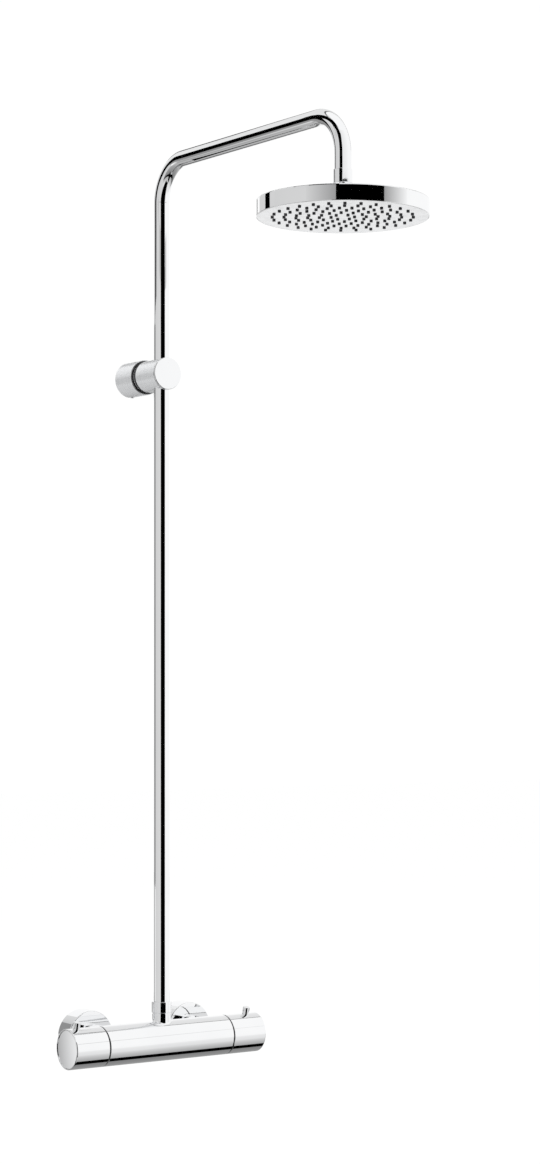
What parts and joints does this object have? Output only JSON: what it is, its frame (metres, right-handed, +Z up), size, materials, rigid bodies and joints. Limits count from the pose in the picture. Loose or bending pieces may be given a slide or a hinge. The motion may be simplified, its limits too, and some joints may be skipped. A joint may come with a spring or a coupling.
{
  "type": "thermostatic rainfall shower column",
  "caption": "Wall-mounted bar mixer with a riser, wall bracket, swivelling bent arm and a tilting round overhead rain shower.",
  "frame": {"origin": "on the finished wall, midway between the two wall inlets, at their height", "axes": "+Z up along the riser, +Y into the wall, +X right along the wall as the user faces it"},
  "size_m": [0.2855, 0.584, 1.1544],
  "materials": {
    "chrome": "polished",
    "face_chrome": "satin",
    "satin_chrome": "satin",
    "brass": "satin",
    "copper": "satin",
    "black_plastic": "satin",
    "white_plastic": "satin",
    "rubber": "matte",
    "silicone": "satin",
    "stainless_steel": "satin",
    "ceramic": "satin"
  },
  "bodies": {
    "column": {"mixer_body": "chrome", "left_offset_union": "brass", "right_offset_union": "brass", "left_rosette": "chrome", "right_rosette": "chrome", "union_nuts": "chrome", "filter_seals": "rubber", "check_valve_housings": "white_plastic", "check_valve_springs": "stainless_steel", "flow_stop_ring": "black_plastic", "temperature_stop_ring": "black_plastic", "flow_cartridge_nut": "brass", "temperature_cartridge_nut": "brass", "flow_valve_housing": "white_plastic", "fixed_ceramic_disc": "ceramic", "cartridge_seals": "rubber", "thermostat_housing": "white_plastic", "thermostat_spring": "stainless_steel", "riser_nut": "chrome", "riser_seal": "rubber", "riser_pipe": "chrome", "bracket_base": "brass", "bracket_screws": "stainless_steel", "bracket_stud": "stainless_steel", "bracket_flange": "satin_chrome", "bracket_grub_screw": "stainless_steel", "bracket_rings": "black_plastic", "bracket_sleeve": "satin_chrome", "bracket_liner": "white_plastic", "bracket_cap": "chrome"},
    "flow_handle": {"flow_handle": "chrome", "flow_handle_cap": "chrome", "flow_handle_screw": "stainless_steel", "flow_spindle": "brass", "turning_ceramic_disc": "ceramic", "eco_button_spring": "stainless_steel"},
    "eco_button": {"eco_button": "chrome"},
    "temperature_handle": {"temperature_handle": "chrome", "temperature_handle_cap": "chrome", "temperature_handle_screw": "stainless_steel", "thermostat_spindle": "brass", "safety_button_spring": "stainless_steel"},
    "safety_button": {"safety_button": "chrome"},
    "thermostat_slide": {"wax_element": "copper", "regulating_piston": "white_plastic"},
    "left_poppet": {"left_check_valve_poppet": "white_plastic"},
    "right_poppet": {"right_check_valve_poppet": "white_plastic"},
    "arm": {"shower_arm": "chrome", "arm_spigot": "brass", "arm_seals": "rubber", "head_nut": "chrome", "swivel_ball": "chrome"},
    "ball_liner": {"ball_liner": "white_plastic"},
    "ball_seal": {"ball_seal": "rubber"},
    "head": {"head_shell": "chrome", "face_plate": "face_chrome", "nozzle_mat": "silicone", "head_gasket": "rubber", "flow_restrictor": "white_plastic", "socket_ring": "chrome"}
  },
  "joints": [
    {"name": "flow_handle_turn", "type": "hinge", "parent": "column", "child": "flow_handle", "pos_m": [-0.115, -0.076, -0.012], "axis": [1, 0, 0], "range_deg": [0, 90]},
    {"name": "eco_button_press", "type": "slide", "parent": "flow_handle", "child": "eco_button", "axis": [0, 0.2079, -0.9781], "range_m": [0, 0.0025], "stiffness_N_per_m": 800, "springref_m": -0.003, "deforming": ["eco_button_spring"]},
    {"name": "temperature_handle_turn", "type": "hinge", "parent": "column", "child": "temperature_handle", "pos_m": [0.118, -0.076, -0.012], "axis": [1, 0, 0], "range_deg": [-180, 60]},
    {"name": "safety_button_press", "type": "slide", "parent": "temperature_handle", "child": "safety_button", "axis": [0, 0.2079, -0.9781], "range_m": [0, 0.0025], "stiffness_N_per_m": 800, "springref_m": -0.003, "deforming": ["safety_button_spring"]},
    {"name": "thermostat_slide_move", "type": "slide", "parent": "column", "child": "thermostat_slide", "axis": [1, 0, 0], "range_m": [-0.0016, 0.0006], "deforming": ["thermostat_spring"]},
    {"name": "left_check_valve_open", "type": "slide", "parent": "column", "child": "left_poppet", "axis": [0, -1, 0], "range_m": [0, 0.003], "stiffness_N_per_m": 80, "springref_m": -0.003, "deforming": ["check_valve_springs"]},
    {"name": "right_check_valve_open", "type": "slide", "parent": "column", "child": "right_poppet", "axis": [0, -1, 0], "range_m": [0, 0.003], "stiffness_N_per_m": 80, "springref_m": -0.003, "deforming": ["check_valve_springs"]},
    {"name": "arm_swivel", "type": "hinge", "parent": "column", "child": "arm", "pos_m": [0, -0.076, 0.8375], "axis": [0, 0, 1], "range_deg": [-80, 80]},
    {"name": "head_tilt_forward", "type": "hinge", "parent": "arm", "child": "ball_liner", "pos_m": [0, -0.46, 1.004], "axis": [1, 0, 0], "range_deg": [-15, 15]},
    {"name": "head_tilt_side", "type": "hinge", "parent": "ball_liner", "child": "ball_seal", "pos_m": [0, -0.46, 1.004], "axis": [0, 1, 0], "range_deg": [-15, 15]},
    {"name": "head_turn", "type": "hinge", "parent": "ball_seal", "child": "head", "pos_m": [0, -0.46, 1.004], "axis": [0, 0, 1], "continuous": true}
  ],
  "couplings": [
    {"joint": "thermostat_slide_move", "follows": "temperature_handle_turn", "m_per_rad": 0.00047746}
  ]
}
